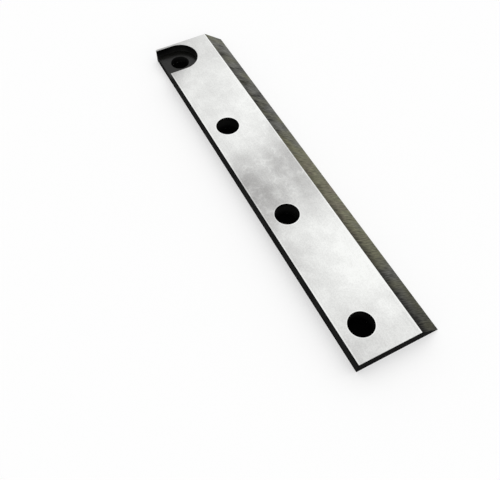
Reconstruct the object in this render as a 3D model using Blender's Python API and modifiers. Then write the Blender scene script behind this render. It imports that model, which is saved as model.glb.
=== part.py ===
"""Shear blade: a flat bar of tool steel, ground on its face and down one long side to a straight cutting edge.

It is bolted to a machine through three plain holes and through a fourth one, whose bolt head is sunk in a
counterbore at one end. The counterbore is open towards the back edge and leaves only a thin wall at the end.

Frame, in metres: the underside lies on z = 0 and the ground face looks up. +X runs along the blade from the
counterbore's end to the plain end, and +Y runs from the back edge to the cutting edge.
"""

from math import cos, pi, radians, sin

import bmesh
import bpy
from mathutils import Euler

MM = 0.001

# Bar
LENGTH = 321 * MM
WIDTH = 62 * MM
THICKNESS = 12 * MM
EDGE_BREAK = 0.3 * MM

# Ground bevel, measured from the cutting edge back over the face, and the flat left below it
BEVEL_RUN = 15.5 * MM
EDGE_LAND = 0.4 * MM

# Plain bolt holes, in one line along the blade
HOLE_DIAMETER = 18 * MM
HOLE_COUNT = 3
HOLE_PITCH = 95 * MM
HOLE_FROM_BACK = 16 * MM
LAST_HOLE_FROM_END = 22 * MM

# Counterbore, with a round inner end and parallel sides that run out through the back edge
POCKET_WIDTH = 31.5 * MM
POCKET_DEPTH = 6 * MM
POCKET_END_WALL = 2 * MM
POCKET_FROM_BACK = 14.5 * MM
POCKET_HOLE_DIAMETER = 15.5 * MM

# 45 degree lip at both mouths of each hole
HOLE_LIP = 0.4 * MM

# How far a cutter reaches past the surface that it opens
CUT_PAST = 2 * MM
HOLE_SEGMENTS = 64
MERGE = 1e-6
FLAT_ANGLE = radians(1)
SMOOTH_ANGLE = radians(25)

BACK_Y = -WIDTH / 2
CUTTING_Y = WIDTH / 2
BEVEL_LINE_Y = CUTTING_Y - BEVEL_RUN
PLAIN_END_X = LENGTH / 2
POCKET_END_X = -LENGTH / 2


def clear_scene():
    for obj in list(bpy.data.objects):
        bpy.data.objects.remove(obj, do_unlink=True)


def new_collection(name):
    collection = bpy.data.collections.new(name)
    bpy.context.scene.collection.children.link(collection)
    return collection


def steel_material():
    """Ground tool steel, the bright grey of the blade's face."""
    material = bpy.data.materials.new("ground_steel")
    material.use_nodes = True
    shader = material.node_tree.nodes["Principled BSDF"]
    shader.inputs["Base Color"].default_value = (0.62, 0.62, 0.61, 1)
    shader.inputs["Metallic"].default_value = 1
    shader.inputs["Roughness"].default_value = 0.35
    return material


def extruded_outline(name, points, depth, collection):
    """A closed prism: the flat outline, centred along its depth on the local Z axis."""
    curve = bpy.data.curves.new(name, "CURVE")
    curve.dimensions = "2D"
    curve.fill_mode = "BOTH"
    curve.extrude = depth / 2
    spline = curve.splines.new("POLY")
    spline.points.add(len(points) - 1)
    for point, (x, y) in zip(spline.points, points):
        point.co = (x, y, 0, 1)
    spline.use_cyclic_u = True
    drawn = bpy.data.objects.new(name + "_outline", curve)
    collection.objects.link(drawn)
    bpy.context.view_layer.update()

    graph = bpy.context.evaluated_depsgraph_get()
    mesh = bpy.data.meshes.new_from_object(drawn.evaluated_get(graph))
    bpy.data.objects.remove(drawn, do_unlink=True)
    shape = bmesh.new()
    shape.from_mesh(mesh)
    bmesh.ops.remove_doubles(shape, verts=shape.verts, dist=MERGE)
    bmesh.ops.dissolve_limit(shape, angle_limit=FLAT_ANGLE, verts=shape.verts, edges=shape.edges)
    bmesh.ops.recalc_face_normals(shape, faces=shape.faces)
    shape.to_mesh(mesh)
    shape.free()
    mesh.name = name
    prism = bpy.data.objects.new(name, mesh)
    collection.objects.link(prism)
    return prism


def blade_section():
    """The blade's cross-section as (y, z): square at the back, and wedge-shaped under the bevel."""
    return [
        (BACK_Y, 0),
        (CUTTING_Y, 0),
        (CUTTING_Y, EDGE_LAND),
        (BEVEL_LINE_Y, THICKNESS),
        (BACK_Y, THICKNESS),
    ]


def break_edges(mesh):
    """Takes the sharpness off the square edges, and leaves the bevel, with its two long edges, as ground."""
    shape = bmesh.new()
    shape.from_mesh(mesh)
    kept_sharp = {(BEVEL_LINE_Y, THICKNESS), (CUTTING_Y, EDGE_LAND)}

    def touches_bevel(edge):
        return any(
            abs(vert.co.y - y) < MERGE and abs(vert.co.z - z) < MERGE
            for vert in edge.verts
            for y, z in kept_sharp
        )

    def is_cutting_edge(edge):
        return all(abs(vert.co.y - CUTTING_Y) < MERGE for vert in edge.verts)

    def is_face_end(edge):
        return all(abs(vert.co.z - THICKNESS) < MERGE for vert in edge.verts) and (
            abs(edge.verts[0].co.x - edge.verts[1].co.x) < MERGE
        )

    broken = [
        edge
        for edge in shape.edges
        if is_face_end(edge) or not (touches_bevel(edge) or is_cutting_edge(edge))
    ]
    bmesh.ops.bevel(
        shape,
        geom=broken,
        offset=EDGE_BREAK,
        offset_type="OFFSET",
        segments=1,
        profile=0.5,
        affect="EDGES",
        clamp_overlap=True,
    )
    shape.to_mesh(mesh)
    shape.free()


def blade_bar(collection):
    bar = extruded_outline("blade", blade_section(), LENGTH, collection)
    # The outline was drawn in X and Y and extruded along Z: turned so that Y, Z and X take their places.
    turn = Euler((pi / 2, 0, pi / 2)).to_matrix().to_4x4()
    bar.data.transform(turn)
    break_edges(bar.data)
    return bar


def as_cutter(obj):
    obj.hide_render = True
    obj.display_type = "WIRE"
    return obj


def hole_cutter(name, diameter, bottom, top, place, collection):
    """A turned plug for a through hole between two flat surfaces, wider by the lip at each of them."""
    radius = diameter / 2
    mouth = radius + HOLE_LIP + CUT_PAST
    profile = [
        (0, top + CUT_PAST),
        (mouth, top + CUT_PAST),
        (radius, top - HOLE_LIP),
        (radius, bottom + HOLE_LIP),
        (mouth, bottom - CUT_PAST),
        (0, bottom - CUT_PAST),
    ]
    mesh = bpy.data.meshes.new(name)
    shape = bmesh.new()
    corners = [shape.verts.new((r, 0, z)) for r, z in profile]
    for upper, lower in zip(corners, corners[1:]):
        shape.edges.new((upper, lower))
    shape.to_mesh(mesh)
    shape.free()
    cutter = bpy.data.objects.new(name, mesh)
    cutter.location = (*place, 0)
    collection.objects.link(cutter)
    turned = cutter.modifiers.new("turned", "SCREW")
    turned.steps = HOLE_SEGMENTS
    turned.render_steps = HOLE_SEGMENTS
    turned.use_merge_vertices = True
    turned.merge_threshold = MERGE
    return as_cutter(cutter)


def pocket_outline():
    """A U about the pocket's bolt hole: a half circle towards the cutting edge, then straight out at the back."""
    radius = POCKET_WIDTH / 2
    arc_steps = HOLE_SEGMENTS // 2
    arc = [
        (radius * cos(pi * step / arc_steps), radius * sin(pi * step / arc_steps))
        for step in range(arc_steps + 1)
    ]
    past_back = -POCKET_FROM_BACK - CUT_PAST
    return [*arc, (-radius, past_back), (radius, past_back)]


def pocket_cutter(place, collection):
    depth = POCKET_DEPTH + CUT_PAST
    cutter = extruded_outline("pocket_cutter", pocket_outline(), depth, collection)
    cutter.location = (*place, THICKNESS - POCKET_DEPTH + depth / 2)
    return as_cutter(cutter)


def hole_places():
    """Centres of the plain holes, the first being the one next to the counterbore."""
    last = PLAIN_END_X - LAST_HOLE_FROM_END
    y = BACK_Y + HOLE_FROM_BACK
    return [(last - HOLE_PITCH * step, y) for step in reversed(range(HOLE_COUNT))]


def pocket_place():
    return (
        POCKET_END_X + POCKET_END_WALL + POCKET_WIDTH / 2,
        BACK_Y + POCKET_FROM_BACK,
    )


def cut(blade, cutter):
    boolean = blade.modifiers.new(cutter.name, "BOOLEAN")
    boolean.operation = "DIFFERENCE"
    boolean.solver = "EXACT"
    boolean.object = cutter


def smooth_round_surfaces(mesh):
    mesh.shade_smooth()
    mesh.set_sharp_from_angle(angle=SMOOTH_ANGLE)


def build():
    clear_scene()
    parts = new_collection("shear_blade")
    cutters = new_collection("cutters")
    cutters.hide_render = True

    blade = blade_bar(parts)
    blade.data.materials.clear()
    blade.data.materials.append(steel_material())
    for number, place in enumerate(hole_places(), start=1):
        cut(
            blade,
            hole_cutter(
                f"hole_{number}_cutter", HOLE_DIAMETER, 0, THICKNESS, place, cutters
            ),
        )
    floor = THICKNESS - POCKET_DEPTH
    cut(blade, pocket_cutter(pocket_place(), cutters))
    cut(
        blade,
        hole_cutter(
            "pocket_hole_cutter",
            POCKET_HOLE_DIAMETER,
            0,
            floor,
            pocket_place(),
            cutters,
        ),
    )
    smooth_round_surfaces(blade.data)


build()
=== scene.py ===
# %% [markdown]
# # A shear blade in four steel finishes
#
# A shear blade is a flat bar of hardened tool steel, bolted into a plate shear or a press. One long
# side is ground to a slope that ends in the straight edge that cuts. The exact model is loaded
# first, and it fixes every size. It could be shown as it is, but its edges are cut flat and it has
# one colour all over. So one finer piece comes over it, with softened edges and with its own finish
# on each kind of surface.

# %% Load the exact model
from math import radians

import bmesh
import bpy
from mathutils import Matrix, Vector


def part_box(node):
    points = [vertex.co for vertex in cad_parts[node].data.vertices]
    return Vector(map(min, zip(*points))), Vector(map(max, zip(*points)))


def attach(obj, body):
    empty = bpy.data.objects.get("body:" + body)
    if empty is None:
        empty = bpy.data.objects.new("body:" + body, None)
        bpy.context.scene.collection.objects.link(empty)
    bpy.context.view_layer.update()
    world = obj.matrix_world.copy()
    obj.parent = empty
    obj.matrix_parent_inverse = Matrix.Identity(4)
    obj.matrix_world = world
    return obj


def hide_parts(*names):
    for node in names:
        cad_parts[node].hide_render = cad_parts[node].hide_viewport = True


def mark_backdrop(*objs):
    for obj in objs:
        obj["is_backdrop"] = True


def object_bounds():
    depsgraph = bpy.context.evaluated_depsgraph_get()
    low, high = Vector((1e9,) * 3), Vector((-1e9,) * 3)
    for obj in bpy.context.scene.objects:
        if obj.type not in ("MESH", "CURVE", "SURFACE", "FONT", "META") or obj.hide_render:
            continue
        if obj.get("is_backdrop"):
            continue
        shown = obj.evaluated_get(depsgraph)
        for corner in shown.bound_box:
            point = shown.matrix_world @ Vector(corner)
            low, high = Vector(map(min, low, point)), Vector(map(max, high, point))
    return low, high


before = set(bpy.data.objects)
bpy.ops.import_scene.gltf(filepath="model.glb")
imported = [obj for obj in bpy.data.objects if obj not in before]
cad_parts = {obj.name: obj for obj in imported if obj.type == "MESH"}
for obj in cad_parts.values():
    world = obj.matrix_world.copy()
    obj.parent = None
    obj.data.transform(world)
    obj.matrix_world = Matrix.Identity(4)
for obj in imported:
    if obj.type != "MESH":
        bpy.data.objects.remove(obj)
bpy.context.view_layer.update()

MM = 0.001
low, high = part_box("blade")
print("blade, mm:", [round(side / MM, 1) for side in high - low])

# %% [markdown]
# ## Camera
#
# The blade was photographed from about arm's length, over the back corner of its plain end and
# steeply down. A camera can be placed by eye, but the far end looks much smaller than the near one,
# and only the real distance with the real lens gives that. So the place, the turn and the 42 mm
# lens were fitted together to the rims of the three holes and to the long straight edges.

# %% Camera
camera_data = bpy.data.cameras.new("camera")
camera_data.lens = 42.15
camera_data.sensor_fit = "HORIZONTAL"
camera_data.sensor_width = 36
camera_data.clip_start = 10 * MM
camera = bpy.data.objects.new("camera", camera_data)
camera.location = (244.11 * MM, -145.67 * MM, 348.17 * MM)
camera.rotation_euler = (radians(32.781), radians(0.296), radians(62.755))
bpy.context.scene.collection.objects.link(camera)
bpy.context.scene.camera = camera
print("camera to the middle of the blade, mm:", round(camera.location.length / MM))

# %% [markdown]
# ## Choosing by place
#
# By hand, an edge is clicked on. In a script it could be taken by its number, but numbers change
# with every step, so it is found by where it is. One helper looks at every vertex, edge or face of
# the piece in edit mode, selects those that pass a test, and says how many there are. A second one
# takes over each new shape, and opens it in edit mode.

# %% Helpers for edit mode
NEAR = 0.01 * MM


def near(a, b):
    """Whether two places are the same, but for rounding."""
    return abs(a - b) < NEAR


def choose(kind, test):
    """Selects the vertices, edges or faces in edit mode that pass the test, and counts them."""
    bpy.ops.mesh.select_mode(type=kind)
    bpy.ops.mesh.select_all(action="DESELECT")
    mesh = bpy.context.object.data
    shape = bmesh.from_edit_mesh(mesh)
    parts = {"VERT": shape.verts, "EDGE": shape.edges, "FACE": shape.faces}[kind]
    found = [part for part in parts if test(part)]
    for part in found:
        part.select_set(True)
    bmesh.update_edit_mesh(mesh)
    return len(found)


def edit_new_primitive(name):
    """Names the primitive just added, puts its place in its mesh and opens it in edit mode."""
    piece = bpy.context.object
    piece.name = name
    bpy.ops.object.transform_apply(location=True, rotation=True, scale=True)
    bpy.ops.object.mode_set(mode="EDIT")
    return piece


print("places count as the same within, mm:", NEAR / MM)

# %% [markdown]
# ## The bar
#
# The real blade starts as a sawn and milled bar, and its slope is ground last. Its outline could be
# drawn and extruded, but a box of the full size is how the bar itself starts. It is cut along the
# line where the slope begins, and the long edge beyond that line is then lowered to a hair above
# the underside, which leaves the flat land that carries the cutting edge.

# %% Bar with its ground slope
BEVEL_RUN = 15.5 * MM
EDGE_LAND = 0.4 * MM
FLAT_ANGLE = radians(1)
bevel_line = high.y - BEVEL_RUN

bpy.ops.object.select_all(action="DESELECT")
bpy.ops.mesh.primitive_cube_add(size=1, location=(low + high) / 2, scale=high - low)
blade = edit_new_primitive("shear_blade")
bpy.ops.mesh.select_all(action="SELECT")
bpy.ops.mesh.bisect(plane_co=(0, bevel_line, 0), plane_no=(0, 1, 0))
choose("VERT", lambda vert: near(vert.co.y, high.y) and near(vert.co.z, high.z))
bpy.ops.transform.translate(value=(0, 0, EDGE_LAND - high.z))
bpy.ops.mesh.select_all(action="SELECT")
bpy.ops.mesh.dissolve_limited(angle_limit=FLAT_ANGLE)
bpy.ops.object.mode_set(mode="OBJECT")
print("faces on the bar:", len(blade.data.polygons))

# %% [markdown]
# ## Bolt holes: where they are
#
# Three plain holes for M16 bolts lie in one line, nearer the back edge, at an even pitch. A fourth
# one, for an M14 bolt, goes down through the floor of a counterbore near the other end. Each middle
# could be written down, but it is worked out from the ends and the back edge instead, as on a
# workshop drawing, so that every size is there once.

# %% Places of the bolt holes
HOLE_DIAMETER = 18 * MM
HOLE_PITCH = 95 * MM
HOLE_FROM_BACK = 16 * MM
LAST_HOLE_FROM_END = 22 * MM
POCKET_HOLE_DIAMETER = 15.5 * MM
POCKET_WIDTH = 31.5 * MM
POCKET_END_WALL = 2 * MM
POCKET_FROM_BACK = 14.5 * MM

hole_y = low.y + HOLE_FROM_BACK
last_hole_x = high.x - LAST_HOLE_FROM_END
plain_holes_x = [last_hole_x - HOLE_PITCH * step for step in (2, 1, 0)]
pocket_x = low.x + POCKET_END_WALL + POCKET_WIDTH / 2
pocket_y = low.y + POCKET_FROM_BACK
all_holes = [(x, hole_y, HOLE_DIAMETER) for x in plain_holes_x]
all_holes.append((pocket_x, pocket_y, POCKET_HOLE_DIAMETER))
for hole in all_holes:
    print("hole's place and width, mm:", [round(part / MM, 1) for part in hole])

# %% [markdown]
# ## Bolt holes: drilling
#
# The real holes are drilled, and so are these, with a cylinder that a Boolean modifier takes away.
# Circles could be drawn in the face and pushed through instead, but then edges run from hole to
# hole over the flat face. The drill is modelled once, and each copy gets its own mesh, its width
# and its place.

# %% Drill the holes
CUT_PAST = 2 * MM
ROUND_STEPS = 96


def cut_away(cutter):
    """Takes the cutter's shape out of the blade."""
    bpy.ops.object.select_all(action="DESELECT")
    bpy.context.view_layer.objects.active = blade
    boolean = blade.modifiers.new("cut", "BOOLEAN")
    boolean.operation = "DIFFERENCE"
    boolean.solver = "EXACT"
    boolean.object = cutter
    bpy.ops.object.modifier_apply(modifier=boolean.name)
    bpy.data.objects.remove(cutter, do_unlink=True)


bpy.ops.object.select_all(action="DESELECT")
bpy.ops.mesh.primitive_cylinder_add(
    vertices=ROUND_STEPS,
    radius=HOLE_DIAMETER / 2,
    depth=high.z + 2 * CUT_PAST,
    location=(0, 0, high.z / 2),
)
drill = edit_new_primitive("drill")
bpy.ops.object.mode_set(mode="OBJECT")
for x, y, width in all_holes:
    bpy.ops.object.select_all(action="DESELECT")
    drill.select_set(True)
    bpy.context.view_layer.objects.active = drill
    bpy.ops.object.duplicate(linked=False)
    narrower = width / HOLE_DIAMETER
    bpy.ops.transform.resize(value=(narrower, narrower, 1), center_override=(0, 0, 0))
    bpy.ops.transform.translate(value=(x, y, 0))
    cut_away(bpy.context.object)
bpy.data.objects.remove(drill, do_unlink=True)
print("holes drilled:", len(all_holes), "faces now:", len(blade.data.polygons))

# %% [markdown]
# ## Counterbore
#
# The fourth bolt's head is sunk. Its seat is milled half way down: round towards the cutting edge,
# with straight sides that run out through the back edge, and only a thin wall left at the end. A
# cylinder and a box could be cut away one after the other, but half a circle, drawn out backwards
# and raised, is the whole path of the end mill in one shape. An end mill has slightly rounded
# corners, so the shape's bottom edge is rounded, and the floor meets the walls in a small fillet.

# %% Mill the counterbore
POCKET_DEPTH = 6 * MM
FLOOR_FILLET = 0.8 * MM
FILLET_STEPS = 4
pocket_floor = high.z - POCKET_DEPTH

bpy.ops.object.select_all(action="DESELECT")
bpy.ops.mesh.primitive_circle_add(
    vertices=ROUND_STEPS,
    radius=POCKET_WIDTH / 2,
    fill_type="NGON",
    location=(pocket_x, pocket_y, pocket_floor),
)
mill = edit_new_primitive("mill")
bpy.ops.mesh.select_all(action="SELECT")
bpy.ops.mesh.bisect(plane_co=(0, pocket_y, 0), plane_no=(0, 1, 0), clear_inner=True)
choose("EDGE", lambda edge: all(near(vert.co.y, pocket_y) for vert in edge.verts))
past_back = low.y - CUT_PAST - pocket_y
bpy.ops.mesh.extrude_region_move(TRANSFORM_OT_translate={"value": (0, past_back, 0)})
bpy.ops.mesh.select_all(action="SELECT")
bpy.ops.mesh.dissolve_limited(angle_limit=FLAT_ANGLE)
bpy.ops.mesh.select_all(action="SELECT")
rise = POCKET_DEPTH + CUT_PAST
bpy.ops.mesh.extrude_region_move(TRANSFORM_OT_translate={"value": (0, 0, rise)})
bpy.ops.mesh.select_all(action="SELECT")
bpy.ops.mesh.normals_make_consistent(inside=False)
choose("EDGE", lambda edge: all(near(vert.co.z, pocket_floor) for vert in edge.verts))
bpy.ops.mesh.bevel(offset=FLOOR_FILLET, segments=FILLET_STEPS, affect="EDGES")
bpy.ops.object.mode_set(mode="OBJECT")
cut_away(mill)
print("counterbore's middle, mm:", round(pocket_x / MM, 1), round(pocket_y / MM, 1))

# %% [markdown]
# ## Softened edges
#
# No machined edge is perfectly sharp: each is broken with a stone or a deburring tool, and that
# thin rounded line is what catches the light. A Bevel modifier would round all edges by the same
# amount. Here each kind is chosen by itself: the outer edges are rounded most, and the rims of the
# holes and of the counterbore about half as much. The slope's two long edges stay as the wheel left
# them, because this is where the blade cuts.

# %% Break the square edges
EDGE_BREAK = 0.3 * MM
RIM_BREAK = 0.15 * MM
SQUARE_ANGLE = radians(80)


def is_square(edge):
    """Between two faces that meet about at a right angle."""
    return len(edge.link_faces) == 2 and edge.calc_face_angle() > SQUARE_ANGLE


def is_outer(edge):
    """On the bar's own outline, but not at the cutting edge or at the ends of the slope."""
    ends = [vert.co for vert in edge.verts]
    at_end = any(all(near(co.x, side) for co in ends) for side in (low.x, high.x))
    at_back = all(near(co.y, low.y) for co in ends)
    on_flat = any(all(near(co.z, side) for co in ends) for side in (low.z, high.z))
    at_cutting_edge = all(near(co.y, high.y) for co in ends)
    return not at_cutting_edge and at_end + at_back + on_flat > 1


def is_rim(edge):
    """Anywhere but at the cutting edge and on the two ends of the bar."""
    at_cutting_edge = any(near(vert.co.y, high.y) for vert in edge.verts)
    return not at_cutting_edge and not any(
        all(near(vert.co.x, side) for vert in edge.verts) for side in (low.x, high.x)
    )


bpy.context.view_layer.objects.active = blade
bpy.ops.object.mode_set(mode="EDIT")
bpy.ops.mesh.select_all(action="SELECT")
bpy.ops.mesh.remove_doubles(threshold=NEAR / 10)
outer = choose("EDGE", lambda edge: is_square(edge) and is_outer(edge))
bpy.ops.mesh.bevel(offset=EDGE_BREAK, segments=3, affect="EDGES", clamp_overlap=True)
rims = choose("EDGE", lambda edge: is_square(edge) and is_rim(edge))
bpy.ops.mesh.bevel(offset=RIM_BREAK, segments=2, affect="EDGES", clamp_overlap=True)
bpy.ops.object.mode_set(mode="OBJECT")
print("outer edges and rims softened:", outer, rims)

# %% [markdown]
# ## Clean shading
#
# Flat shading would show the round walls as facets, and smooth shading alone would let the narrow
# rounded edges bend the light on the big flat surfaces beside them. So the blade is smoothed up to
# an angle, and a Weighted Normal modifier lets the largest faces decide: the flats stay flat and
# only the edges turn.

# %% Shade and measure the blade
SMOOTH_ANGLE = radians(35)
CM = 10 * MM

bpy.ops.object.select_all(action="DESELECT")
blade.select_set(True)
bpy.ops.object.shade_smooth_by_angle(angle=SMOOTH_ANGLE)
bpy.ops.object.modifier_add(type="WEIGHTED_NORMAL")
blade.modifiers[-1].keep_sharp = True
bpy.ops.object.modifier_apply(modifier=blade.modifiers[-1].name)

measured = bmesh.new()
measured.from_mesh(blade.data)
open_edges = sum(len(edge.link_faces) != 2 for edge in measured.edges)
print("volume, cm3:", round(measured.calc_volume() / CM**3, 1), "open edges:", open_edges)
measured.free()

# %% [markdown]
# ## Building a finish
#
# A picture of the steel could be laid over the blade, but it would blur from close up. Here each
# finish is worked out from nodes. They read the Object coordinates, which are the blade's own
# metres, so a pattern can be given its real size. One function turns a colour code into the linear
# values that the shader wants, and one small function adds a node, sets it up and links its inputs.

# %% Helpers for materials
# A Mix node's inputs: how much of the second, then its two numbers and its two colours
HOW_MUCH, FIRST_NUMBER, SECOND_NUMBER, FIRST_COLOUR, SECOND_COLOUR = 0, 2, 3, 6, 7


def hex_colour(code):
    """An sRGB colour code, such as B0B0B0, as linear red, green, blue and alpha."""
    channels = [int(code[start : start + 2], 16) / 255 for start in (0, 2, 4)]
    # The numbers are those of the sRGB standard, whose curve is straight near black.
    linear = [
        part / 12.92 if part <= 0.04045 else ((part + 0.055) / 1.055) ** 2.4
        for part in channels
    ]
    return (*linear, 1)


def add_node(tree, kind, inputs=None, **settings):
    """Adds a node, fills or links its inputs by name or number, and returns its first output."""
    made = tree.nodes.new(kind)
    for name, value in settings.items():
        setattr(made, name, value)
    for name, value in (inputs or {}).items():
        if isinstance(value, bpy.types.NodeSocket):
            tree.links.new(value, made.inputs[name])
        else:
            made.inputs[name].default_value = value
    return next(output for output in made.outputs if output.enabled)


def new_finish(name):
    """A new material on the blade, with its tree, its shader and the blade's own coordinates."""
    material = bpy.data.materials.new(name)
    material.use_nodes = True
    tree = material.node_tree
    place = add_node(tree, "ShaderNodeTexCoord").node.outputs["Object"]
    blade.data.materials.append(material)
    return tree, tree.nodes["Principled BSDF"], place


print("the middle grey 808080 in linear light:", round(hex_colour("808080")[0], 3))

# %% [markdown]
# ## Sums and soft areas
#
# Film, dust and wear lie on real steel in layers, so a finish adds them up, each with its share. A
# noise averages one half, and a sum that holds noises starts lower by about what they add. Where a
# layer lies could be painted as a mask, but numbers in millimetres can be read and moved. A slope
# is a value, where it starts to count and where it counts in full. Slopes that are multiplied leave
# the area that they share, with soft limits.

# %% Helpers for sums and areas
NOISE_MIDDLE = 0.5


def add_up(tree, start, parts):
    """Adds to a starting value each part times its share."""
    total = start
    for share, part in parts:
        total = add_node(
            tree,
            "ShaderNodeMath",
            {0: part, 1: share, 2: total},
            operation="MULTIPLY_ADD",
        )
    return total


def soft_area(tree, *slopes, within=None):
    """1 where every slope counts in full and 0 where one hasn't begun, within another area."""
    area = within
    for value, start, full in slopes:
        slope = add_node(
            tree,
            "ShaderNodeMapRange",
            {"Value": value, "From Min": start, "From Max": full},
            interpolation_type="SMOOTHSTEP",
        )
        if area is None:
            area = slope
        else:
            area = add_node(
                tree, "ShaderNodeMath", {0: area, 1: slope}, operation="MULTIPLY"
            )
    return area


def distance_from(tree, value, middle):
    """How far a value is from a middle one, to either side."""
    offset = add_node(
        tree, "ShaderNodeMath", {0: value, 1: middle}, operation="SUBTRACT"
    )
    return add_node(tree, "ShaderNodeMath", {0: offset}, operation="ABSOLUTE")


print("a noise adds to a sum, on average, its share times", NOISE_MIDDLE)

# %% [markdown]
# ## Surface-ground face: light and dull areas
#
# The face was finished on a surface grinder and wiped with oil, which leaves a bright satin grey
# that isn't even. A broad dull cloud lies aslant before the middle hole, cleaner along its own
# middle. The steel is also painted a little greyer towards the back edge and the ends, most of all
# beside the counterbore, and a touch in the far half: a painted reflection, where the ground face
# would mirror duller surroundings. A noise alone would put its clouds anywhere. So each of these is
# a soft area with its own place, and a slow noise only pushes its outline about, so that it looks
# wiped.

# %% Light and dull areas of the face
WANDER_SIZE = 45 * MM
WANDER_REACH = 30 * MM
SLANT = 0.5
CLEAN_MIDDLE_Y = -13 * MM

tree, shader, place = new_finish("surface_ground_tool_steel")
wander = add_node(
    tree, "ShaderNodeTexNoise", {"Vector": place, "Scale": 1 / WANDER_SIZE, "Detail": 2}
).node.outputs["Color"]
wander = add_node(
    tree, "ShaderNodeVectorMath", {0: wander, 1: [NOISE_MIDDLE] * 3}, operation="SUBTRACT"
)
wiped = add_node(
    tree,
    "ShaderNodeVectorMath",
    {0: wander, 1: (2 * WANDER_REACH, 2 * WANDER_REACH, 0), 2: place},
    operation="MULTIPLY_ADD",
)
wiped = add_node(tree, "ShaderNodeSeparateXYZ", {"Vector": wiped}).node.outputs

slanted = add_up(tree, wiped["X"], [(SLANT, wiped["Y"])])
cloud = soft_area(tree, (slanted, -52 * MM, 2 * MM), (slanted, 110 * MM, 6 * MM))
from_clean = distance_from(tree, wiped["Y"], CLEAN_MIDDLE_Y)
clean_middle = soft_area(tree, (from_clean, 18 * MM, 4 * MM), within=cloud)
# Painted reflection: the face is painted greyer towards the back edge, the ends, beside the
# counterbore and in the far half
towards_back = (wiped["Y"], 10 * MM, -38 * MM)
back_side = soft_area(tree, towards_back)
counterbore_end = soft_area(tree, (wiped["X"], -85 * MM, -135 * MM))
beside_counterbore = soft_area(tree, towards_back, within=counterbore_end)
plain_end = soft_area(tree, (wiped["X"], 95 * MM, 165 * MM))
far_half = soft_area(tree, (wiped["X"], 60 * MM, -60 * MM))
print("nodes for the light and dull areas:", len(tree.nodes))

# %% [markdown]
# ## Surface-ground face: smears and curls
#
# The wiping cloth leaves small smears and, most of all over the dull cloud, short light curls where
# it turned. Curls could be drawn one by one as rings, but then they would look stamped. These
# follow a winding noise where it crosses its middle value, and fade out where a smear is thick.

# %% Smears and curls of the face
SMEAR_SIZE = 11 * MM
THICK_SMEAR, THIN_SMEAR = 0.52, 0.4
CURL_SIZE = 6 * MM
CURL_WIDTH = 0.16

smears = add_node(
    tree,
    "ShaderNodeTexNoise",
    {"Vector": place, "Scale": 1 / SMEAR_SIZE, "Detail": 4, "Distortion": 0.4},
)
winding = add_node(
    tree,
    "ShaderNodeTexNoise",
    {"Vector": place, "Scale": 1 / CURL_SIZE, "Detail": 0, "Distortion": 0.3},
)
from_curl = distance_from(tree, winding, NOISE_MIDDLE)
curled = soft_area(tree, (slanted, -65 * MM, -25 * MM), (slanted, 50 * MM, 15 * MM))
curled = add_up(tree, 0.3, [(0.7, curled)])
curls = soft_area(
    tree, (from_curl, CURL_WIDTH, 0), (smears, THICK_SMEAR, THIN_SMEAR), within=curled
)
print("nodes with smears and curls:", len(tree.nodes))

# %% [markdown]
# ## Surface-ground face: wheel lines and grain
#
# The wheel leaves fine lines along the blade, and the steel between them has a fine grain. Real
# ones are a few hundredths of a millimetre wide, far too fine to show, so both are drawn at 0.9 mm.
# A Wave texture would lay the lines too evenly. They are a noise that is stretched along the blade,
# so that each line begins and ends somewhere, as the scratch of a single grit does.

# %% Wheel lines and grain of the face
LINE_WIDTH = 0.9 * MM
LINE_LENGTH = 60 * MM
GRAIN_SIZE = 0.9 * MM

grain = add_node(
    tree, "ShaderNodeTexNoise", {"Vector": place, "Scale": 1 / GRAIN_SIZE, "Detail": 2}
)
stretched = add_node(
    tree,
    "ShaderNodeMapping",
    {"Vector": place, "Scale": (1 / LINE_LENGTH, 1 / LINE_WIDTH, 1)},
)
grinding_lines = add_node(
    tree, "ShaderNodeTexNoise", {"Vector": stretched, "Scale": 1, "Detail": 2}
)
print("nodes with wheel lines and grain:", len(tree.nodes))

# %% [markdown]
# ## Surface-ground face: painted edge highlights
#
# A thin bright line is painted along the long edges and round the mouth of each hole: a painted
# highlight, where the edges that were stoned to take off the burr catch the light. A bright curve
# could be laid over each, but it would stand proud of the steel. Here each line is a soft area in
# the distance from its edge, and where lines meet, the stronger one shows. The underside has the
# same finish and its own two long edges, but no edge where the slope begins above it.

# %% Painted edge highlights of the face
RIM_LINE_FADES, RIM_LINE_FULL = 0.9 * MM, 0.2 * MM
EDGE_LINE_FADES, EDGE_LINE_FULL = 1.2 * MM, 0.5 * MM

lines = []
for x, y, width in all_holes:
    from_hole = add_node(
        tree,
        "ShaderNodeMapping",
        {"Vector": place, "Location": (-x, -y, 0), "Scale": (1, 1, 0)},
    )
    from_hole = add_node(
        tree, "ShaderNodeVectorMath", {0: from_hole}, operation="LENGTH"
    ).node.outputs["Value"]
    rim = width / 2
    ring = (from_hole, rim + RIM_LINE_FADES, rim + RIM_LINE_FULL)
    lines.append(soft_area(tree, ring))

position = add_node(tree, "ShaderNodeSeparateXYZ", {"Vector": place}).node.outputs
on_top = soft_area(tree, (position["Z"], low.z, high.z))
for edge, side in ((bevel_line, on_top), (low.y, None), (high.y, None)):
    from_edge = distance_from(tree, position["Y"], edge)
    along_edge = (from_edge, EDGE_LINE_FADES, EDGE_LINE_FULL)
    lines.append(soft_area(tree, along_edge, within=side))

# Painted highlight: the strongest of these lines lightens the face's tint
painted_edge_highlights = lines[0]
for line in lines[1:]:
    painted_edge_highlights = add_node(
        tree, "ShaderNodeMath", {0: painted_edge_highlights, 1: line}, operation="MAXIMUM"
    )
print("burnished lines:", len(lines))

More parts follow.
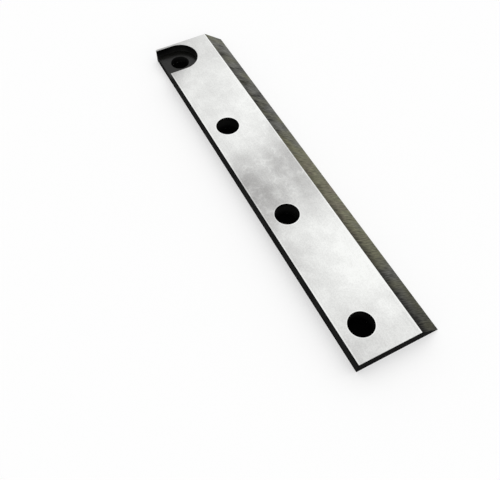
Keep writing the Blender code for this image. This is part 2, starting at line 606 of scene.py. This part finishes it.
# %% [markdown]
# ## Surface-ground face: putting it together
#
# All these shares are added to one number, how dull the steel looks, and a colour ramp turns that
# into its tint: nearly white where it is clean and along the painted highlights, a mid grey under
# the thickest film and where the painted reflection is dullest. Two materials could be mixed
# instead, but film and steel are one surface that only changes by degrees. Bare steel is a full
# metal with its default IOR. The lines roughen it along the blade, and give it the finest of
# reliefs.

# %% Colour, roughness and relief of the face
CLEAN_STEEL = "F8F9F7"
FILM_AND_DIM_REFLECTION_GREY = "A8A7A6"
DULLNESS_START = -0.448
GRINDING_RELIEF = 0.02 * MM

# The dullness holds film and marks, and also painted reflection and painted highlights
dullness = add_up(
    tree,
    DULLNESS_START,
    [
        (0.65, cloud),
        (-0.2, clean_middle),
        # From back_side to far_half: painted reflection
        (0.22, back_side),
        (0.28, counterbore_end),
        (0.35, beside_counterbore),
        (0.3, plain_end),
        (0.1, far_half),
        (0.34, smears),
        (-0.13, curls),
        (0.45, grain),
        (0.14, grinding_lines),
        (-0.26, painted_edge_highlights),
    ],
)
tint = add_node(tree, "ShaderNodeValToRGB", {"Fac": dullness})
tint.node.color_ramp.elements[0].color = hex_colour(CLEAN_STEEL)
tint.node.color_ramp.elements[1].color = hex_colour(FILM_AND_DIM_REFLECTION_GREY)
tree.links.new(tint, shader.inputs["Base Color"])
shader.inputs["Metallic"].default_value = 1
roughness = add_up(tree, 0.22, [(0.12, dullness), (0.16, grinding_lines)])
tree.links.new(roughness, shader.inputs["Roughness"])
relief = add_node(
    tree,
    "ShaderNodeBump",
    {"Strength": 0.15, "Distance": GRINDING_RELIEF, "Height": grinding_lines},
)
tree.links.new(relief, shader.inputs["Normal"])
print("surface-ground face:", len(tree.nodes), "nodes,", len(tree.links), "links")

# %% [markdown]
# ## Wheel-ground slope: strokes and patches
#
# The slope was ground with the face of a cup wheel, whose strokes run straight across it, some over
# its full width and many shorter. Real ones are a tenth of a millimetre wide. They are drawn at 0.9
# and 0.45 mm, the finest that still show, and fade where the steel is darkest. They could be cut
# into the mesh, but at that size a noise drawn out across the blade looks the same. The wheel also
# left broad patches a little lighter and darker, most of all in the counterbore's half.

# %% Strokes and patches of the slope
tree, shader, place = new_finish("cup_wheel_ground_steel")
position = add_node(tree, "ShaderNodeSeparateXYZ", {"Vector": place}).node.outputs


def marks_across(tree, place, width, length, detail):
    """A noise whose marks have this width along the blade and this length across it."""
    drawn_out = add_node(
        tree,
        "ShaderNodeMapping",
        {"Vector": place, "Scale": (1 / width, 1 / length, 0)},
    )
    return add_node(
        tree, "ShaderNodeTexNoise", {"Vector": drawn_out, "Scale": 1, "Detail": detail}
    )


strokes = marks_across(tree, place, width=0.9 * MM, length=30 * MM, detail=2)
strokes = soft_area(tree, (strokes, 0.3, 0.7))
short_strokes = marks_across(tree, place, width=0.45 * MM, length=5.5 * MM, detail=2)
short_strokes = soft_area(tree, (short_strokes, 0.35, 0.65))
patches = marks_across(tree, place, width=9 * MM, length=13 * MM, detail=1)
heat_patches = marks_across(tree, place, width=15 * MM, length=22 * MM, detail=1)
print("nodes for strokes and patches:", len(tree.nodes))

# %% [markdown]
# ## Wheel-ground slope: dark and light areas
#
# The slope is painted much darker than the face: a painted reflection of dark surroundings, which
# steel ground this smooth would mirror. It is darkest in a band beside the face, over a stretch
# after the counterbore, and at the plain end, all of it painted reflection. As on the face, each of
# these is a soft area with its own place, and here nothing has smeared their limits.

# %% Dark and light areas of the slope
STROKES_START = -0.34
DARKNESS_START = 0.4

# Painted reflection: darker at the plain end, in a band beside the face and after the counterbore
dark_end = soft_area(tree, (position["X"], 50 * MM, 170 * MM))
plain_half = soft_area(tree, (position["X"], 0, 70 * MM))
beside_face = soft_area(
    tree,
    (position["Y"], bevel_line + 8 * MM, bevel_line),
    within=add_up(tree, 0.5, [(0.35, plain_half), (-0.35, dark_end)]),
)
dark_stretch = soft_area(
    tree, (position["X"], -170 * MM, -90 * MM), (position["X"], 0, -60 * MM)
)

stroke_shades = add_up(tree, STROKES_START, [(0.2, strokes), (0.48, short_strokes)])
still_light = add_up(tree, 1, [(-0.6, dark_end), (-0.4, beside_face)])
stroke_shades = add_node(
    tree, "ShaderNodeMath", {0: stroke_shades, 1: still_light}, operation="MULTIPLY"
)
counterbore_half = soft_area(tree, (position["X"], 0, -70 * MM))
patchy = add_up(tree, 0.2, [(0.8, counterbore_half)])
patches = add_up(tree, -NOISE_MIDDLE, [(1, patches)])
patches = add_node(
    tree, "ShaderNodeMath", {0: patches, 1: patchy}, operation="MULTIPLY"
)
# The darkness is painted reflection, with the patches and strokes as the steel's own tone
darkness = add_up(
    tree,
    DARKNESS_START,
    [
        (0.42, beside_face),
        (0.42, dark_end),
        (0.18, dark_stretch),
        (0.9, patches),
        (1, stroke_shades),
    ],
)
print("nodes with dark and light areas:", len(tree.nodes))

# %% [markdown]
# ## Wheel-ground slope: heat colours
#
# Grinding heat has left a faint temper tint in the middle of the slope's length: first straw, which
# on grey steel looks olive, then a touch of brown. It is a film on the metal that could be drawn as
# a clear coat, but a tint of the metal itself shows the same and stays simple. Over it the painted
# dark reflection is mixed in. At a grazing angle clean metal mirrors nearly all light. The specular
# tint is grey to hold that back, so that the painted dark reflection stays dark there.

# %% Colour, roughness and relief of the slope
COOL_STEEL = "8D8D87"
STRAW = "96957B"
BROWN = "958D7E"
DARK_REFLECTION_AND_STROKE_GREY = "1D1C1A"
GRAZING_TINT = "CACACA"
HEAT_START = -0.85

tempered = soft_area(
    tree, (position["X"], -60 * MM, 20 * MM), (position["X"], 160 * MM, 50 * MM)
)
heat = add_up(tree, HEAT_START, [(0.6, tempered), (1.8, heat_patches)])
heat_colours = add_node(tree, "ShaderNodeValToRGB", {"Fac": heat})
stops = heat_colours.node.color_ramp.elements
stops[0].color = hex_colour(COOL_STEEL)
stops[1].color = hex_colour(BROWN)
stops.new(0.5).color = hex_colour(STRAW)
# Painted reflection: the darkness mixes in a dark grey for dark surroundings, and for the strokes
tint = add_node(
    tree,
    "ShaderNodeMix",
    {
        HOW_MUCH: darkness,
        FIRST_COLOUR: heat_colours,
        SECOND_COLOUR: hex_colour(DARK_REFLECTION_AND_STROKE_GREY),
    },
    data_type="RGBA",
)
tree.links.new(tint, shader.inputs["Base Color"])
shader.inputs["Metallic"].default_value = 1
shader.inputs["Specular Tint"].default_value = hex_colour(GRAZING_TINT)
roughness = add_up(tree, 0.2, [(0.2, strokes)])
tree.links.new(roughness, shader.inputs["Roughness"])
relief = add_node(
    tree,
    "ShaderNodeBump",
    {"Strength": 0.2, "Distance": GRINDING_RELIEF, "Height": strokes},
)
tree.links.new(relief, shader.inputs["Normal"])
print("wheel-ground slope:", len(tree.nodes), "nodes,", len(tree.links), "links")

# %% [markdown]
# ## Black scale: the skin
#
# The back, the ends and the hole walls were never ground after hardening, and keep their black
# oxide scale. It is a matt skin that takes almost all light, slightly pitted and a little blotchy.
# It is a shade greyer half way up the long back, where hands and the seat rub it. The ends are
# painted blacker, which is painted shade. Plain black would do from afar, but from close up it
# would look like a hole. The real pits are about a tenth of a millimetre wide, too fine to show, so
# they are drawn at 0.8 mm.

# %% Black skin
PIT_WIDTH = 0.8 * MM
BLOTCH_WIDTH = 14 * MM
BLACKEST_SCALE = "080808"
RUBBED_SCALE = "222221"
GREYNESS_START = -1.3

tree, shader, place = new_finish("black_hardening_scale")
position = add_node(tree, "ShaderNodeSeparateXYZ", {"Vector": place}).node.outputs
pits = add_node(
    tree, "ShaderNodeTexNoise", {"Vector": place, "Scale": 1 / PIT_WIDTH, "Detail": 4}
)
blotches = add_node(
    tree, "ShaderNodeTexNoise", {"Vector": place, "Scale": 1 / BLOTCH_WIDTH, "Detail": 3}
)
half_height = high.z / 2
from_half_height = distance_from(tree, position["Z"], half_height)
rubbed = soft_area(tree, (from_half_height, 4.5 * MM, 1.5 * MM))
from_centre = distance_from(tree, position["X"], 0)
# Painted shade: both ends of the bar are painted blacker
at_end = soft_area(tree, (from_centre, high.x - 0.6 * MM, high.x - 0.2 * MM))
greyness = add_up(
    tree,
    GREYNESS_START,
    [(0.4, rubbed), (-0.5, at_end), (0.8, pits), (2.2, blotches)],
)
skin = add_node(
    tree,
    "ShaderNodeMix",
    {
        HOW_MUCH: greyness,
        FIRST_COLOUR: hex_colour(BLACKEST_SCALE),
        SECOND_COLOUR: hex_colour(RUBBED_SCALE),
    },
    data_type="RGBA",
)
print("nodes for the black skin:", len(tree.nodes))

# %% [markdown]
# ## Black scale: chipped edges
#
# Scale is brittle, and along the edges it has chipped off in places down to grey steel. The chips
# could follow the mesh's own edges, but they lie only at the top and the bottom of the sides, so
# the height alone says how near an edge is, and a noise breaks the line up. The skin mirrors almost
# nothing, so its IOR is close to that of air, and its pits make it rough.

# %% Chips, roughness and relief of the scale
CHIP_SIZE = 2.5 * MM
BARE_STEEL = "5A5956"
CHIPS_START = -1.45
PIT_RELIEF = 0.03 * MM

at_edge = soft_area(
    tree, (from_half_height, half_height - 1.6 * MM, half_height - 0.1 * MM)
)
chips = add_node(
    tree, "ShaderNodeTexNoise", {"Vector": place, "Scale": 1 / CHIP_SIZE, "Detail": 3}
)
chips = add_up(tree, CHIPS_START, [(1, at_edge), (1.6, chips)])
chips = soft_area(tree, (chips, 0.35, 0.5))
tint = add_node(
    tree,
    "ShaderNodeMix",
    {HOW_MUCH: chips, FIRST_COLOUR: skin, SECOND_COLOUR: hex_colour(BARE_STEEL)},
    data_type="RGBA",
)
tree.links.new(tint, shader.inputs["Base Color"])
shader.inputs["IOR"].default_value = 1.05
roughness = add_up(tree, 0.5, [(0.35, pits)])
tree.links.new(roughness, shader.inputs["Roughness"])
relief = add_node(
    tree, "ShaderNodeBump", {"Strength": 0.4, "Distance": PIT_RELIEF, "Height": pits}
)
tree.links.new(relief, shader.inputs["Normal"])
print("black scale:", len(tree.nodes), "nodes,", len(tree.links), "links")

# %% [markdown]
# ## Milled and blackened floor
#
# The counterbore's floor was milled before hardening. The end mill turned about the bolt hole and
# left faint rings, which the black skin covers but doesn't hide. A film of oil makes it half
# glossy: dark grey where it mirrors the light above, and black where it mirrors the walls. The
# rings could be modelled, but they are only microns deep. They are a Wave texture that is centred
# on the hole. Real ones are about 0.2 mm apart, too fine to show, so they are drawn at 1.1 mm.

# %% Milled and blackened floor
RING_SPACING = 1.1 * MM
# Rings of a Wave texture lie this far apart at scale 1.
WAVE_SPACING = 0.31
STAIN_SIZE = 5 * MM
BLACKENED = "060605"
OILED = "181816"
OIL_START = -0.2
MILLING_RELIEF = 0.02 * MM

tree, shader, place = new_finish("milled_and_blackened_steel")
centred = add_node(
    tree,
    "ShaderNodeMapping",
    {"Vector": place, "Location": (-pocket_x, -pocket_y, 0), "Scale": (1, 1, 0)},
)
rings = add_node(
    tree,
    "ShaderNodeTexWave",
    {
        "Vector": centred,
        "Scale": WAVE_SPACING / RING_SPACING,
        "Distortion": 1.5,
        "Detail": 2,
    },
    wave_type="RINGS",
    rings_direction="SPHERICAL",
).node.outputs["Fac"]
stains = add_node(
    tree, "ShaderNodeTexNoise", {"Vector": place, "Scale": 1 / STAIN_SIZE, "Detail": 4}
)
oil = add_up(tree, OIL_START, [(0.3, rings), (1, stains)])
tint = add_node(
    tree,
    "ShaderNodeMix",
    {
        HOW_MUCH: oil,
        FIRST_COLOUR: hex_colour(BLACKENED),
        SECOND_COLOUR: hex_colour(OILED),
    },
    data_type="RGBA",
)
tree.links.new(tint, shader.inputs["Base Color"])
shader.inputs["IOR"].default_value = 1.36
roughness = add_up(tree, 0.2, [(0.1, rings)])
tree.links.new(roughness, shader.inputs["Roughness"])
relief = add_node(
    tree,
    "ShaderNodeBump",
    {"Strength": 0.3, "Distance": MILLING_RELIEF, "Height": rings},
)
tree.links.new(relief, shader.inputs["Normal"])
print("milled floor:", len(tree.nodes), "nodes,", len(tree.links), "links")

# %% [markdown]
# ## Which face gets which finish
#
# On the real blade, each machine has touched only the surfaces that look its way. A face could be
# given its finish by hand, but here its place and the way that it looks decide: up and on top it is
# ground, sloping towards the cutting edge it is wheel-ground, flat on the counterbore's floor it is
# milled. All else, which was never touched after hardening, keeps the black scale, and so does the
# milled fillet at the foot of the counterbore's walls, as painted shade in that crease.

# %% Give each surface its finish
# In the order in which the finishes were put on the blade
GROUND, SLOPE, SCALE, MILLED = range(4)


def finish_of(face):
    """Which finish a face has, by its place and by the way that it looks."""
    x, y, z = face.center
    _, forwards, up = face.normal
    looks_forwards = forwards > 0.3 and up > -0.1
    looks_up = up > 0.5
    looks_down = up < -0.5
    in_pocket = abs(x - pocket_x) < POCKET_WIDTH / 2
    # Painted shade: the fillet at the foot of the counterbore's walls gets the black scale, not the
    # milled finish
    on_pocket_floor = up > 0.99 and abs(z - pocket_floor) < EDGE_BREAK
    if y > bevel_line and looks_forwards:
        return SLOPE
    if looks_up and z > high.z - EDGE_BREAK:
        return GROUND
    if looks_down and z < EDGE_BREAK:
        return GROUND
    if in_pocket and on_pocket_floor:
        return MILLED
    return SCALE


counts = [0, 0, 0, 0]
for face in blade.data.polygons:
    face.material_index = finish_of(face)
    counts[face.material_index] += 1
print("faces: ground, slope, scale, milled:", counts)

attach(blade, "root")
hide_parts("blade")

# %% [markdown]
# ## Floor and card
#
# The blade lies on a plain floor, which is only the stage and no part of it. The bolt holes show
# nothing but darkness, and that darkness is painted shade. They could be closed with black plugs,
# but then the blade wouldn't be bored through. So black card, just smaller than the blade and
# thinner than paper, lies under it as a painted shadow in each hole.

# %% Floor and card
FLOOR_SIZE = 6000 * MM
FLOOR_BELOW = 0.1 * MM
CARD_THICKNESS = 0.08 * MM
CARD_MARGIN = 3 * MM

bpy.ops.object.select_all(action="DESELECT")
bpy.ops.mesh.primitive_plane_add(size=FLOOR_SIZE, location=(0, 0, -FLOOR_BELOW))
floor = edit_new_primitive("floor")
bpy.ops.object.mode_set(mode="OBJECT")

# Painted shade: the black card makes the bolt holes dark
bpy.ops.object.select_all(action="DESELECT")
card_size = high - low - 2 * Vector((CARD_MARGIN, CARD_MARGIN, 0))
card_size.z = CARD_THICKNESS
bpy.ops.mesh.primitive_cube_add(
    size=1, location=(0, 0, -FLOOR_BELOW / 2), scale=card_size
)
card = edit_new_primitive("hole_shade_card")
bpy.ops.object.mode_set(mode="OBJECT")
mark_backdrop(floor, card)
print("card, mm:", [round(side / MM, 2) for side in card_size])

# %% [markdown]
# ## Paint and glow of the stage
#
# In the photograph the blade lies nearly free of shadow, on white. A stronger lamp would turn the
# floor white, but the face of the blade with it. So the floor is pale paint, with a glow that only
# the camera and reflections see. It makes up for the light that the paint takes back, and leaves a
# faint soft shadow.

# %% Paint and glow of the stage
PALE_PAINT = "CACACA"
# The card's black is painted shade for the bolt holes
HOLE_SHADE_BLACK = "050505"
WHITE = "FFFFFF"
FLOOR_GLOW = 0.4


def seen_directly(tree):
    """1 for what the camera, a mirror or glass shows, 0 for the light that falls on things."""
    ray = add_node(tree, "ShaderNodeLightPath").node.outputs
    seen = ray["Is Camera Ray"]
    for other in ("Is Glossy Ray", "Is Transmission Ray"):
        seen = add_node(
            tree, "ShaderNodeMath", {0: seen, 1: ray[other]}, operation="MAXIMUM"
        )
    return seen


for piece, code in ((floor, PALE_PAINT), (card, HOLE_SHADE_BLACK)):
    paint = bpy.data.materials.new("matt_" + piece.name)
    paint.use_nodes = True
    shader = paint.node_tree.nodes["Principled BSDF"]
    shader.inputs["Base Color"].default_value = hex_colour(code)
    shader.inputs["Roughness"].default_value = 0.9
    shader.inputs["Specular IOR Level"].default_value = 0
    piece.data.materials.append(paint)

tree = floor.active_material.node_tree
shader = tree.nodes["Principled BSDF"]
glow = add_up(tree, 0, [(FLOOR_GLOW, seen_directly(tree))])
shader.inputs["Emission Color"].default_value = hex_colour(WHITE)
tree.links.new(glow, shader.inputs["Emission Strength"])
print("floor paint:", PALE_PAINT, "with a glow of", FLOOR_GLOW)

# %% [markdown]
# ## Light
#
# Polished and ground steel shows whatever is round it, so single lamps would be mirrored as spots.
# The light is a plain studio tent instead, white from all round, and one broad soft lamp from
# above, which the metal doesn't mirror. The tent shows as full white to the camera and in the
# metal, and gives off a little less light. With the lamp it shows a white card at just under white,
# so that each colour looks about as it is written.

# %% Lamp and tent
LAMP_STRENGTH = 0.95
LAMP_SPREAD = radians(90)
TENT_LIGHT = 0.72
TENT_SEEN = 1.0

lamp_data = bpy.data.lights.new("soft_lamp", "SUN")
lamp_data.energy = LAMP_STRENGTH
lamp_data.angle = LAMP_SPREAD
lamp = bpy.data.objects.new("soft_lamp", lamp_data)
lamp.rotation_euler = (radians(-20), radians(-10), 0)
lamp.visible_glossy = False
bpy.context.scene.collection.objects.link(lamp)

world = bpy.data.worlds.new("studio_tent")
bpy.context.scene.world = world
world.use_nodes = True
tree = world.node_tree
backdrop = tree.nodes["Background"]
backdrop.inputs["Color"].default_value = hex_colour(WHITE)
strength = add_node(
    tree,
    "ShaderNodeMix",
    {HOW_MUCH: seen_directly(tree), FIRST_NUMBER: TENT_LIGHT, SECOND_NUMBER: TENT_SEEN},
)
tree.links.new(strength, backdrop.inputs["Strength"])
bpy.context.scene.view_settings.view_transform = "Standard"
print("lamp and tent:", LAMP_STRENGTH, TENT_LIGHT)

# %% [markdown]
# ## Sizes
#
# Softened edges only take material away, so the piece has to fill the exact model's box and never
# leave it. It could be measured by eye in a render, but the numbers are surer. Both boxes are
# written down to be compared.

# %% Sizes
piece_low, piece_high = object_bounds()
print("whole blade, mm:", [round(side / MM, 2) for side in piece_high - piece_low])
